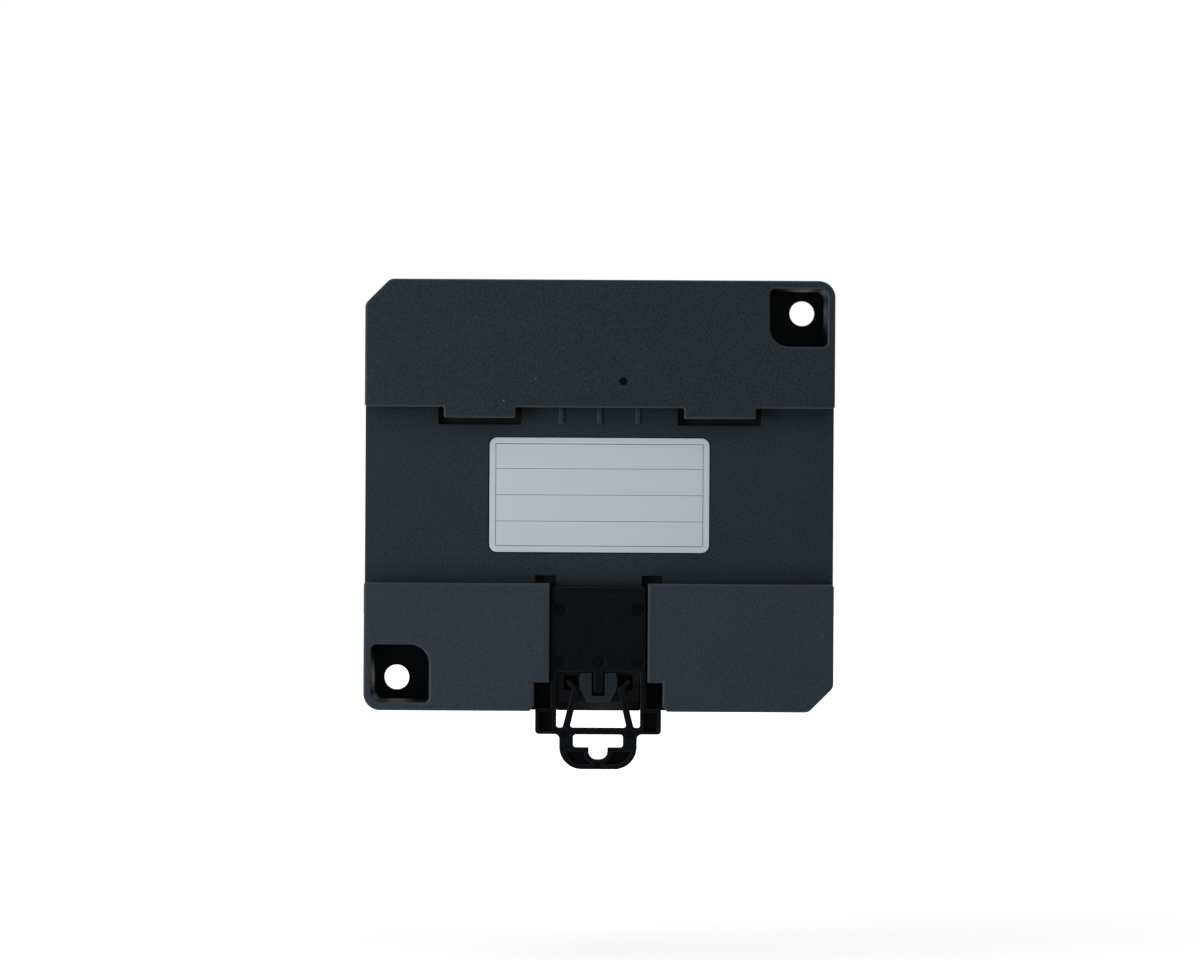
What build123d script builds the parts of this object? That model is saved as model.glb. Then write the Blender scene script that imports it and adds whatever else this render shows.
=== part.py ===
from build123d import *
import os
from math import sqrt

# Energy monitor for a 35 mm mounting rail.
# The origin is the centre of the rail seat. X runs along the rail, to the right seen from the
# front. Z points up. Y points to the wall, so the room side of the case is at negative Y.
# All lengths are in millimetres.

overrun = 1.0
fit_gap = 0.1
least_radius = 0.3

# Case envelope
case_width = 98.0
case_height = 90.0
corner_chamfer = 5.2
chamfer_blend = 2.0
corner_radius = 3.5
wall = 2.0
rear_edge_radius = 0.5
front_edge_radius = 1.0

# Levels of the case, as distances from the rail seat
rear_rise = 5.5
seat_thickness = 2.0
seam_depth = 15.5
shoulder_depth = 20.5
platform_depth = 32.5
platform_height = 54.0
seam_groove = 0.4

# Rail seat
rail_height = 35.0
rail_play = 0.83
hook_centre = 25.05
hook_length = 14.9
hook_reach = 2.23
hook_gap = 1.5
hook_slot_side = 1.28
hook_slot_below = 1.35
hook_corner_radius = 0.4
lip_end_radius = 0.6
pressure_rib_count = 3
pressure_rib_pitch = 8.0
pressure_rib_width = 1.15
pressure_rib_length = 3.28
pressure_rib_rise = 0.5
pressure_rib_radius = 0.35
pinhole_x = -4.93
pinhole_z = 23.9
pinhole_radius = 0.875

# Screw wells in two opposite corners
well_width = 12.1
well_height = 12.05
well_side_wall = 1.6
well_end_wall = 1.7
well_inner_radius = 4.0
well_outer_radius = 1.8
well_plain_radius = 1.0
well_partition = 1.5
screw_hole_side = 4.5
screw_hole_end = 4.4
screw_hole_radius = 2.65

# Rating plate on the rail seat
plate_width = 46.0
plate_height = 23.95
plate_radius = 1.6
plate_thickness = 0.3
plate_centre_z = 0.08
plate_rim_gap = 0.3
plate_recess = 0.35

# Latch bay between the two lower pads
bay_half_width = 10.25
bay_notch_half_width = 13.4
bay_notch_top = 39.0
bay_notch_chamfer = 1.0
bay_notch_gap = 0.15
bay_side_wall = 1.6
guide_inner = 8.95
guide_outer = 13.3
guide_top = 16.75
lip_underside = 0.8
strip_rise = 1.2
strip_slope = 1.7
strip_end = 44.8
tip_hole_inner = 4.3
tip_hole_outer = 7.2
tip_hole_top = 37.6
tip_hole_bottom = 40.6
boss_top = 37.0
boss_wide_top = 38.3
boss_wide_bottom = 40.2
boss_bottom = 43.1
boss_top_half = 3.6
boss_wide_half = 3.87
boss_bottom_half = 2.45
boss_slot_half = 1.4
boss_slot_bottom = 41.8

# Latch, drawn pulled out as it is parked
latch_thickness = 3.0
latch_play = 0.1
latch_half_width = 9.95
latch_top = 19.1
latch_top_radius = 0.8
latch_edge_radius = 0.2
latch_window_top = 36.8
latch_window_bottom = 48.5
latch_window_half = 8.75
latch_web_inner = 9.15
latch_wing_outer = 12.9
latch_wing_top = 22.4
latch_wing_front = 0.9
latch_wing_rear = 0.5
shoulder_half = 13.15
shoulder_top = 44.4
shoulder_bottom = 49.8
shoulder_radius = 0.8
shoulder_pocket_inner = 9.5
shoulder_pocket_outer = 12.3
shoulder_pocket_top = 45.2
shoulder_pocket_bottom = 49.2
latch_pocket_depth = 2.0
stem_half = 0.95
stem_bottom = 41.15
crossbar_bottom = 49.85
loop_half = 8.1
loop_bottom = 57.1
loop_radius = 4.7
loop_fillet = 1.0
loop_slot_half = 5.2
loop_slot_bottom = 52.6
loop_slot_radius = 0.6
driver_notch_half = 1.95
driver_notch_bottom = 55.1
loop_rim = 1.05
loop_pocket_top = 53.4
loop_notch_rim = 1.0
window_corner_radius = 0.3
arm_foot_radius = 0.5
arm_foot_width = 1.5
arm_width = 1.3
arm_foot_x = 6.85
arm_elbow_x = 4.75
arm_elbow_z = 40.5
arm_tip_x = 6.2
arm_tip_z = 38.9
arm_tip_width = 0.85
ejector_mark_depth = 0.2
upper_mark_depth = 0.4
foot_mark_x = 6.8
foot_mark_z = 49.85
tip_mark_z = 56.2
tip_mark_radius = 0.75
ejector_mark_radius = 1.35
small_mark_radius = 0.95
mark_side_x = 8.1
mark_upper_z = 23.75
mark_lower_z = 34.75
mark_shoulder_x = 10.9
mark_shoulder_z = 47.1

# Boards
board_thickness = 1.6
board_stand_off = 3.0
board_edge_gap = 0.5
board_boss_radius = 3.0
board_boss_side = 7.0
board_boss_z = 11.0
board_screw_radius = 1.1
board_screw_length = 4.2
board_screw_head_radius = 2.4
board_screw_head = 1.6
control_board_depth = 24.0
control_board_side = 8.0
control_board_end = 1.5
spacer_inset = 4.5
spacer_radius = 2.6
spacer_bore = 1.2
spacer_screw_length = 6.0
sheet_thickness = 0.25
sheet_margin = 0.5

# Snap tongues of the front cover
snap_z = 16.0
snap_width = 8.0
snap_thickness = 1.2
snap_length = 6.5
snap_root = 2.5
snap_hook = 0.5
snap_hook_length = 1.2
snap_pocket_gap = 0.2

# Voltage terminal block
pole_count = 4
pole_pitch = 7.62
terminal_side = 0.9
terminal_length = 11.0
terminal_floor = 1.0
entry_width = 5.4
entry_height = 5.2
entry_rise = 1.6
entry_depth = 3.2
entry_window_gap = 0.2
chamber_width = 6.2
chamber_length = 6.0
chamber_height = 7.7
cage_width = 5.8
cage_length = 5.6
cage_height = 5.3
cage_floor = 0.7
cage_roof = 1.2
cage_window_width = 4.6
cage_rest_gap = 0.2
screw_radius = 1.5
screw_clearance = 0.08
screw_head_radius = 2.2
screw_head_height = 1.2
screw_head_recess = 1.4
screw_access_radius = 2.4
driver_slot_width = 0.6
driver_slot_depth = 0.6
contact_thickness = 0.7
contact_width = 3.6
contact_leg_width = 1.0
contact_roof_gap = 0.2
solder_reach = 1.2

# Sensor sockets
socket_count = 4
socket_pitch = 15.0
socket_width = 12.0
socket_height = 9.0
socket_length = 10.0
socket_wall = 1.2
socket_back = 2.0
socket_pin = 1.0
socket_pin_pitch = 5.08
socket_pin_reach = 5.0
socket_tail_gap = 0.4

# Link between the boards
link_pin_count = 10
link_pin_pitch = 2.54
link_pin = 0.64
link_width = 2.5
link_base_height = 2.5
link_socket_height = 8.5
link_z = -19.0

# Front face
overlay_side = 5.0
overlay_end = 5.0
overlay_radius = 3.0
overlay_thickness = 0.3
overlay_recess = 0.35
light_count = 3
light_pitch = 8.0
light_inset = 10.0
light_z = 0.0
light_radius = 1.5
light_flange_radius = 2.3
light_flange = 0.8
led_width = 2.0
led_height = 0.8
led_gap = 0.3
button_inset = 14.0
button_z = 0.0
button_radius = 3.0
button_gap = 0.15
button_rise = 0.8
button_flange = 0.8
button_flange_radius = 3.8
button_stem_radius = 1.2

# Push switches, one behind the button and one behind the pinhole
switch_size = 6.0
switch_height = 2.4
switch_bore_depth = 1.2
plunger_radius = 1.7
plunger_rise = 0.8
plunger_depth = 0.7
plunger_clearance = 0.06
plunger_contact_gap = 0.05

# Parts on the main board
core_width = 20.0
core_height = 17.0
core_depth = 15.0
core_x = -24.0
core_z = 0.0
core_leg = 4.5
bobbin_flange = 1.0
capacitor_radius = 5.0
capacitor_length = 14.0
capacitor_x = 8.0
capacitor_pitch = 12.0
capacitor_z = -6.0
rectifier_size = 8.5
rectifier_height = 2.6
rectifier_x = -6.0
rectifier_z = -6.0
fuse_radius = 2.6
fuse_length = 20.0
fuse_x = -29.0
fuse_z = -27.0
fuse_rise = 4.2
fuse_cap_length = 5.0
clip_thickness = 0.5
clip_length = 4.0
varistor_count = 3
varistor_radius = 4.6
varistor_thickness = 3.2
varistor_x = -10.0
varistor_pitch = 7.0
varistor_z = -26.0
varistor_lift = 0.8
choke_radius = 6.5
choke_bore = 3.0
choke_length = 7.0
choke_coil_thickness = 1.2
choke_coil_width = 7.0
choke_x = 22.0
choke_z = -24.0
metering_size = 7.0
chip_height = 1.2
metering_x = 4.0
metering_z = 14.0
burden_width = 3.2
burden_length = 1.6
burden_height = 0.6
burden_z = 26.0

# Parts on the control board
processor_size = 9.0
processor_x = 4.0
processor_z = 5.0
radio_width = 16.0
radio_height = 18.0
radio_board_thickness = 0.8
radio_x = -10.0
radio_z = -11.0
shield_margin = 1.0
shield_height = 1.8
shield_skin = 0.25
antenna_width = 30.0
antenna_height = 7.0
antenna_thickness = 0.8
antenna_x = 16.0
antenna_z = -17.0
antenna_foot = 1.6
reserve_radius = 3.0
reserve_length = 4.0
reserve_x = 16.0
reserve_z = 5.0

# Levels worked out from the values above
seat_half = rail_height / 2 + rail_play
inner_half_width = case_width / 2 - wall
inner_half_height = case_height / 2 - wall
screw_hole_x = case_width / 2 - well_side_wall - screw_hole_side
screw_hole_z = case_height / 2 - well_end_wall - screw_hole_end
board_boss_x = inner_half_width - board_boss_side
control_board_width = 2 * (inner_half_width - control_board_side)
control_board_height = platform_height - 2 * wall - 2 * control_board_end
spacer_x = control_board_width / 2 - spacer_inset
spacer_z = control_board_height / 2 - spacer_inset
overlay_width = case_width - 2 * overlay_side
overlay_height = platform_height - 2 * overlay_end
light_first_x = light_inset - overlay_width / 2
button_x = overlay_width / 2 - button_inset
shoulder_inner = -(shoulder_depth - wall)
platform_inner = -(platform_depth - wall)
board_rear = -(seat_thickness + board_stand_off)
board_front = board_rear - board_thickness
control_rear = -control_board_depth
control_front = control_rear - board_thickness
latch_front = strip_rise + latch_play
latch_rear = latch_front + latch_thickness
terminal_mouth = -(inner_half_height - fit_gap)
terminal_back = terminal_mouth + terminal_length
terminal_front = shoulder_inner + 2 * fit_gap
chamber_rear = board_front - terminal_floor
chamber_front = chamber_rear - chamber_height
chamber_mouth = terminal_mouth + entry_depth
cage_rear = chamber_rear - cage_rest_gap
cage_front = cage_rear - cage_height
contact_front = cage_front + cage_roof + contact_roof_gap
screw_head_floor = terminal_front + screw_head_recess
socket_mouth = inner_half_height - fit_gap
socket_back_face = socket_mouth - socket_length
socket_front = board_front - socket_height
overlay_floor = -(platform_depth - overlay_recess)
switch_front = control_front - switch_height
plunger_front = switch_front - plunger_rise
led_front = control_front - led_height


def block(x_span, y_span, z_span):
    """Box between a low and a high value on each axis."""
    spans = (x_span, y_span, z_span)
    centre = [(low + high) / 2 for low, high in spans]
    size = [high - low for low, high in spans]
    return Pos(*centre) * Box(*size)


def around(centre, size):
    """Span of the given size about a centre."""
    return (centre - size / 2, centre + size / 2)


def slab(sketch, front, rear):
    """Solid between two Y levels over a sketch drawn in X and Z."""
    plane = Plane((0, rear, 0), x_dir=(1, 0, 0), z_dir=(0, -1, 0))
    return extrude(plane * sketch, rear - front, dir=(0, -1, 0))


def disc(x, z, radius, front, rear):
    """Round solid along Y."""
    return slab(Pos(x, z) * Circle(radius), front, rear)


def outline(points):
    """Closed sketch through points given in X and Z."""
    return Polygon(*points, align=None)


def soften(sketch, point, radius):
    """Round the corner of a sketch that lies nearest to a point."""
    corner = sketch.vertices().sort_by_distance(Vector(*point))[0]
    return fillet(corner, radius)


def rectangle(x_span, z_span, radii=(0, 0, 0, 0)):
    """Rectangle with its own radius at the lower left, lower right, upper right, upper left."""
    low_x, high_x = x_span
    low_z, high_z = z_span
    corners = [(low_x, low_z), (high_x, low_z), (high_x, high_z), (low_x, high_z)]
    sketch = outline(corners)
    for corner, radius in zip(corners, radii):
        if radius > 0:
            sketch = soften(sketch, corner, radius)
    return sketch


def both_sides(shape):
    """A shape with its mirror image on the other side of X."""
    return shape + mirror(shape, about=Plane.YZ)


def turned(shape):
    """A shape turned half round about Y, into the opposite corner."""
    return Rot(0, 180, 0) * shape


def four_places(x, z):
    return [(side * x, level * z) for side in (-1, 1) for level in (-1, 1)]


def case_outline(inset=0.0):
    """Outline of the case: two opposite corners are cut, the other two are round."""
    half_x = case_width / 2 - inset
    half_z = case_height / 2 - inset
    leg = corner_chamfer - inset * (2 - sqrt(2))
    cut_corner = [(half_x - leg, half_z), (half_x, half_z - leg)]
    opposite_cut = [(-x, -z) for x, z in cut_corner]
    round_corners = [(half_x, -half_z), (-half_x, half_z)]
    sketch = outline([*cut_corner, round_corners[0], *opposite_cut, round_corners[1]])
    for point in cut_corner + opposite_cut:
        sketch = soften(sketch, point, chamfer_blend)
    for point in round_corners:
        sketch = soften(sketch, point, max(corner_radius - inset, least_radius))
    return sketch


def well_outline(grow=0.0):
    """Outline of the screw well in the upper corner at negative X."""
    x_low = -(case_width / 2 - well_side_wall)
    z_high = case_height / 2 - well_end_wall
    x_span = (x_low - grow, x_low + well_width + grow)
    z_span = (z_high - well_height - grow, z_high + grow)
    radii = (well_plain_radius, well_inner_radius, well_plain_radius, well_outer_radius)
    return rectangle(x_span, z_span, [radius + grow for radius in radii])


def pole_places():
    return [(index - (pole_count - 1) / 2) * pole_pitch for index in range(pole_count)]


def socket_places():
    return [(index - (socket_count - 1) / 2) * socket_pitch for index in range(socket_count)]


def light_places():
    return [light_first_x + index * light_pitch for index in range(light_count)]


def case_hollow():
    """Room inside the rear half, stepped over the two blocks beside the rail seat."""
    main_room = slab(case_outline(wall), -(seam_depth + overrun), -seat_thickness)
    block_room = slab(case_outline(wall), -(seat_thickness + overrun), rear_rise - wall)
    step_z = seat_half + wall
    seat_core = block(
        (-case_width, case_width), (-(seat_thickness + 2 * overrun), rear_rise), (-step_z, step_z)
    )
    return main_room + (block_room - seat_core)


def well_walls():
    """Partition round a well, down to the floor that the cover gives it."""
    outer = well_outline(well_partition)
    in_rear = slab(outer, -seam_depth, rear_rise) & slab(case_outline(), -seam_depth, rear_rise)
    low = shoulder_inner + fit_gap
    in_cover = slab(outer, low, -seam_depth)
    in_cover = in_cover & slab(case_outline(wall + fit_gap), low, -seam_depth)
    return in_rear + in_cover


def hook_outline():
    """Outline of a hook tab with a strip of the block that it hangs from."""
    x_span = around(hook_centre, hook_length)
    radius = hook_corner_radius
    tab = rectangle(x_span, (seat_half - hook_reach, seat_half), (radius, radius, 0, 0))
    strip = rectangle(around(hook_centre, hook_length + 4 * radius), (seat_half, seat_half + wall / 2))
    shape = tab + strip
    for x in x_span:
        shape = soften(shape, (x, seat_half), radius)
    return shape


def lip_end_cuts():
    """What rounds off the outer ends of the blocks' edges beside the rail seat."""
    x = case_width / 2 - lip_end_radius
    z = seat_half + lip_end_radius
    corner = rectangle((x, case_width / 2 + overrun), (seat_half - overrun, z))
    cut = slab(corner - Pos(x, z) * Circle(lip_end_radius), 0, rear_rise + overrun)
    ends = both_sides(cut)
    return ends + mirror(ends, about=Plane.XY)


def hook_slot_outline():
    """Outline of the slot in the rail seat under a hook tab."""
    x_span = around(hook_centre, hook_length + 2 * hook_slot_side)
    z_span = (seat_half - hook_reach - hook_slot_below, seat_half)
    return rectangle(x_span, z_span, (hook_corner_radius, hook_corner_radius, 0, 0))


def latch_boss():
    """Shield-shaped boss on the strip, with the slot that guides the latch's stem."""
    half = [
        (boss_top_half, -boss_top),
        (boss_wide_half, -boss_wide_top),
        (boss_wide_half, -boss_wide_bottom),
        (boss_bottom_half, -boss_bottom),
    ]
    shield = outline(half + [(-x, z) for x, z in reversed(half)])
    slot = rectangle((-boss_slot_half, boss_slot_half), (-boss_slot_bottom, -boss_top + overrun))
    return slab(shield - slot, strip_rise, latch_rear)


def latch_bay():
    """Slot between the lower pads that holds the latch."""
    bottom = -(case_height / 2 + overrun)
    return block((-bay_half_width, bay_half_width), (0, rear_rise + overrun), (bottom, -seat_half))


def latch_guides():
    """Side guides under the pads' lips, the lower notches and the holes behind the arm tips."""
    bottom = -(case_height / 2 + overrun)
    rear = rear_rise + overrun
    floor = -(seat_thickness + overrun)
    guide = block((guide_inner, guide_outer), (floor, lip_underside), (bottom, -guide_top))
    guide = guide + block((guide_inner, bay_half_width), (floor, rear), (bottom, -guide_top))
    notch_x = (latch_window_half - bay_notch_gap, bay_notch_half_width)
    notch = block(notch_x, (floor, rear), (bottom, -bay_notch_top))
    edge = -case_height / 2
    relief = outline([
        (bay_notch_half_width, edge - overrun),
        (bay_notch_half_width, edge + bay_notch_chamfer),
        (bay_notch_half_width + bay_notch_chamfer, edge),
        (bay_notch_half_width + bay_notch_chamfer, edge - overrun),
    ])
    tip_hole = block(
        (tip_hole_inner, tip_hole_outer), (floor, rear), (-tip_hole_bottom, -tip_hole_top)
    )
    return both_sides(guide + notch + slab(relief, -seat_thickness, rear) + tip_hole)


def latch_strip():
    """Raised strip that the latch slides on, sloped off at its lower end."""
    inner = guide_inner
    slope_start = -(strip_end - strip_slope)
    strip = block((-inner, inner), (-seat_thickness, strip_rise), (-strip_end, -seat_half))
    slope = Plane.YZ * outline([
        (strip_rise, slope_start),
        (strip_rise + overrun, slope_start),
        (strip_rise + overrun, -strip_end - overrun),
        (-seat_thickness, -strip_end - overrun),
        (0, -strip_end),
    ])
    return strip - extrude(slope, inner + overrun, both=True)


def make_rear_housing():
    """Rear half of the case, with the rail seat, the hooks, the wells and the latch bay."""
    body = slab(case_outline(), -seam_depth, rear_rise)
    seat_cut = (-seat_half, seat_half)
    across = (-case_width, case_width)
    body = body - block(across, (0, rear_rise + overrun), seat_cut)
    body = body - lip_end_cuts()
    body = body - case_hollow()
    groove = slab(case_outline(), -(seam_depth + overrun), -(seam_depth - seam_groove))
    groove = groove - slab(case_outline(seam_groove), -(seam_depth + 2 * overrun), 0)
    body = body - groove

    bay_half = bay_notch_half_width + bay_side_wall
    bay_room = block(
        (-bay_half, bay_half), (-seat_thickness, rear_rise), (-case_height / 2, -seat_half)
    )
    body = body + bay_room
    body = body - latch_bay() + latch_strip() - latch_guides() + latch_boss()

    body = body - both_sides(slab(hook_slot_outline(), -(seat_thickness + overrun), overrun))
    body = body + both_sides(slab(hook_outline(), hook_gap, rear_rise))

    wells = [slab(well_outline(), shoulder_inner - overrun, rear_rise + overrun)]
    wells.append(turned(wells[0]))
    body = body + well_walls() + turned(well_walls())
    for well in wells:
        body = body - well

    rear_edges = body.edges().filter_by_position(Axis.Y, rear_rise, rear_rise)
    body = fillet(rear_edges, min(rear_edge_radius, wall / 3))

    for index in range(pressure_rib_count):
        rib_x = (index - (pressure_rib_count - 1) / 2) * pressure_rib_pitch
        rib = block(
            around(rib_x, pressure_rib_width),
            (0, pressure_rib_rise),
            (seat_half - pressure_rib_length, seat_half + wall / 2),
        )
        crest = rib.edges().filter_by_position(Axis.Y, pressure_rib_rise, pressure_rib_rise)
        body = body + fillet(crest, min(pressure_rib_radius, pressure_rib_width / 3))
    body = body - disc(pinhole_x, pinhole_z, pinhole_radius, 0, rear_rise + overrun)
    half = plate_width / 2 + plate_rim_gap
    z_span = around(plate_centre_z, plate_height + 2 * plate_rim_gap)
    recess = rectangle((-half, half), z_span, [plate_radius + plate_rim_gap] * 4)
    body = body - slab(recess, -plate_recess, overrun)

    for x, z in four_places(board_boss_x, board_boss_z):
        body = body + disc(x, z, board_boss_radius, board_rear, -seat_thickness)
        body = body - disc(x, z, board_screw_radius, board_rear - overrun, -plate_recess - overrun)
    for x in pole_places():
        body = body - entry_window(x, entry_width, entry_top(), terminal_mouth)
    for x in socket_places():
        inner_width = socket_width - 2 * socket_wall
        body = body - entry_window(x, inner_width, board_front - socket_wall, socket_mouth)
    for x, z in four_places(inner_half_width, snap_z):
        body = body - snap_pocket(x, z)
    return body


def entry_top():
    """Level of a wire entry's rear side."""
    return board_front - entry_rise


def entry_window(x, width, rear, mouth):
    """Notch in the rim for a wire entry or a socket, open at the seam."""
    outside = case_height / 2 + overrun
    z_span = (mouth, outside) if mouth > 0 else (-outside, mouth)
    y_span = (-(seam_depth + overrun), rear + entry_window_gap)
    return block(around(x, width + 2 * entry_window_gap), y_span, z_span)


def snap_level():
    """Level of the tips of the snap tongues."""
    return -(seam_depth - snap_length)


def snap_pocket(x, z):
    """Pocket in the side wall that a snap tongue's hook drops into."""
    side = 1 if x > 0 else -1
    depth = snap_hook + snap_pocket_gap
    x_span = sorted((x - side * overrun, x + side * depth))
    tip = snap_level()
    y_span = (tip - snap_hook_length - snap_pocket_gap, tip + snap_pocket_gap)
    return block(x_span, y_span, around(z, snap_width + 2 * snap_pocket_gap))


def snap_tongue(side, z):
    """Tongue of the cover, rooted in its side wall and hooked at its tip."""
    outer = inner_half_width - fit_gap
    inner = outer - snap_thickness
    tip = snap_level()
    root_y = -(seam_depth + snap_root)
    tongue = block((inner, outer), (root_y, tip), around(z, snap_width))
    root = block((inner, inner_half_width + wall / 2), (root_y, -seam_depth), around(z, snap_width))
    hook = Plane.XY * outline([
        (outer, tip),
        (outer + snap_hook, tip - snap_hook_length / 2),
        (outer + snap_hook, tip - snap_hook_length),
        (outer, tip - snap_hook_length),
    ])
    hook = Pos(0, 0, z) * extrude(hook, snap_width / 2, both=True)
    shape = tongue + root + hook
    return shape if side > 0 else mirror(shape, about=Plane.YZ)


def make_front_cover():
    """Front half of the case: two terminal shoulders and the raised platform."""
    platform = (-platform_height / 2, platform_height / 2)
    body = slab(case_outline(), -shoulder_depth, -seam_depth)
    raised = slab(case_outline(), -platform_depth, -seam_depth)
    raised = raised & block((-case_width, case_width), (-platform_depth, 0), platform)
    body = body + raised
    front_edges = body.edges().filter_by_position(Axis.Y, -platform_depth, -platform_depth)
    body = fillet(front_edges, min(front_edge_radius, wall / 2))

    room = slab(case_outline(wall), shoulder_inner, overrun - seam_depth)
    inner_z = (platform[0] + wall, platform[1] - wall)
    room = room + (
        slab(case_outline(wall), platform_inner, shoulder_inner)
        & block((-case_width, case_width), (platform_inner, shoulder_inner), inner_z)
    )
    body = body - room
    for side in (-1, 1):
        for z in (-snap_z, snap_z):
            body = body + snap_tongue(side, z)

    well = slab(well_outline(), shoulder_inner, overrun - seam_depth)
    hole = disc(-screw_hole_x, screw_hole_z, screw_hole_radius, -platform_depth, 0)
    body = body - well - hole - turned(well) - turned(hole)

    for x in pole_places():
        z = terminal_screw_z()
        body = body - disc(x, z, screw_access_radius, -platform_depth, 0)
    for x in light_places():
        body = body - disc(x, light_z, light_radius + fit_gap, -(platform_depth + overrun), 0)
    hole_radius = button_radius + button_gap
    body = body - disc(button_x, button_z, hole_radius, -(platform_depth + overrun), 0)
    half_x = overlay_width / 2 + fit_gap
    half_z = overlay_height / 2 + fit_gap
    recess = rectangle((-half_x, half_x), (-half_z, half_z), [overlay_radius + fit_gap] * 4)
    body = body - slab(recess, -(platform_depth + overrun), overlay_floor)
    return body


def make_front_overlay():
    """Film on the platform, with holes for the lights and the button."""
    half_x = overlay_width / 2
    half_z = overlay_height / 2
    film = rectangle((-half_x, half_x), (-half_z, half_z), [overlay_radius] * 4)
    for x in light_places():
        film = film - Pos(x, light_z) * Circle(light_radius + fit_gap)
    film = film - Pos(button_x, button_z) * Circle(button_radius + button_gap)
    return slab(film, overlay_floor - overlay_thickness, overlay_floor)


def make_rating_plate():
    half = plate_width / 2
    shape = rectangle((-half, half), around(plate_centre_z, plate_height), [plate_radius] * 4)
    return slab(shape, -plate_recess, plate_thickness - plate_recess)


def make_insulating_sheet():
    """Film that closes the slots of the rail seat and of the latch bay from inside."""
    half_x = inner_half_width - sheet_margin
    half_z = seat_half + wall - sheet_margin
    shape = rectangle((-half_x, half_x), (-half_z, half_z))
    bay_half = bay_notch_half_width + bay_side_wall
    lower = -(inner_half_height - sheet_margin)
    shape = shape + rectangle((-bay_half, bay_half), (lower, -half_z))
    for x, z in four_places(board_boss_x, board_boss_z):
        shape = shape - Pos(x, z) * Circle(board_boss_radius + fit_gap)
    rear = -seat_thickness
    return slab(shape, rear - sheet_thickness, rear)


def latch_loop():
    """Pull loop with its screwdriver slot and two pockets."""
    loop = rectangle((-loop_half, loop_half), (-loop_bottom, -shoulder_bottom),
                     (loop_radius, loop_radius, 0, 0))
    shoulders = rectangle((-shoulder_half, shoulder_half), (-shoulder_bottom, -shoulder_top),
                          (shoulder_radius, shoulder_radius, 0, 0))
    shape = shoulders + loop
    for side in (-1, 1):
        shape = soften(shape, (side * loop_half, -shoulder_bottom), loop_fillet)
    slot = rectangle((-loop_slot_half, loop_slot_half), (-loop_slot_bottom, -crossbar_bottom),
                     [loop_slot_radius] * 4)
    body = slab(shape - slot - driver_notch(0.0), latch_front, latch_rear)
    body = body + slab(shoulders, -latch_wing_front, latch_front)
    inset = loop_half - loop_rim
    pocket = rectangle((-inset, inset), (-(loop_bottom - loop_rim), -shoulder_bottom),
                       (loop_radius - loop_rim, loop_radius - loop_rim, 0, 0))
    pocket = pocket - rectangle((-loop_half, loop_half), (-loop_pocket_top, 0))
    pocket = pocket - driver_notch(loop_notch_rim)
    return body - slab(pocket, latch_rear - latch_pocket_depth, latch_rear + overrun)


def driver_notch(grow):
    """Round-ended notch for a screwdriver's tip, below the slot of the loop."""
    half = driver_notch_half + grow
    bottom = driver_notch_bottom + grow
    round_end = half - least_radius
    return rectangle((-half, half), (-bottom, -loop_slot_bottom + overrun),
                     (round_end, round_end, 0, 0))


def bar(start, end, start_width, end_width):
    """Straight bar between two points, given its width at each."""
    run = (Vector(*end) - Vector(*start)).normalized()
    across = Vector(-run.Y, run.X)
    corners = [
        Vector(*start) + across * (start_width / 2),
        Vector(*end) + across * (end_width / 2),
        Vector(*end) - across * (end_width / 2),
        Vector(*start) - across * (start_width / 2),
    ]
    return outline([(corner.X, corner.Y) for corner in corners])


def latch_arm():
    """Sprung arm beside the boss: a beam up to a round elbow, and a short bar out to its tip."""
    foot = (arm_foot_x, -(latch_window_bottom + crossbar_bottom) / 2)
    elbow = (arm_elbow_x, -arm_elbow_z)
    tip = (arm_tip_x, -arm_tip_z)
    shape = bar(foot, elbow, arm_foot_width, arm_width) + Pos(*elbow) * Circle(arm_width / 2)
    return shape + bar(elbow, tip, arm_tip_width, arm_tip_width) + Pos(*tip) * Circle(arm_tip_width / 2)


def latch_stem():
    """Stem from the top of the window down into the slot of the boss."""
    return rectangle((-stem_half, stem_half), (-stem_bottom, -latch_window_top + overrun),
                     (stem_half - fit_gap, stem_half - fit_gap, 0, 0))


def latch_window():
    """Free room of the window, round the stem and the two arms."""
    half = latch_window_half
    room = rectangle((-half, half), (-latch_window_bottom, -latch_window_top),
                     (arm_foot_radius, arm_foot_radius, window_corner_radius, window_corner_radius))
    arm = latch_arm()
    room = room - arm - mirror(arm, about=Plane.YZ) - latch_stem()
    for side in (-1, 1):
        for reach in (-arm_foot_width / 2, arm_foot_width / 2):
            room = soften(room, (side * (arm_foot_x + reach), -latch_window_bottom), arm_foot_radius)
    return room


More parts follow.
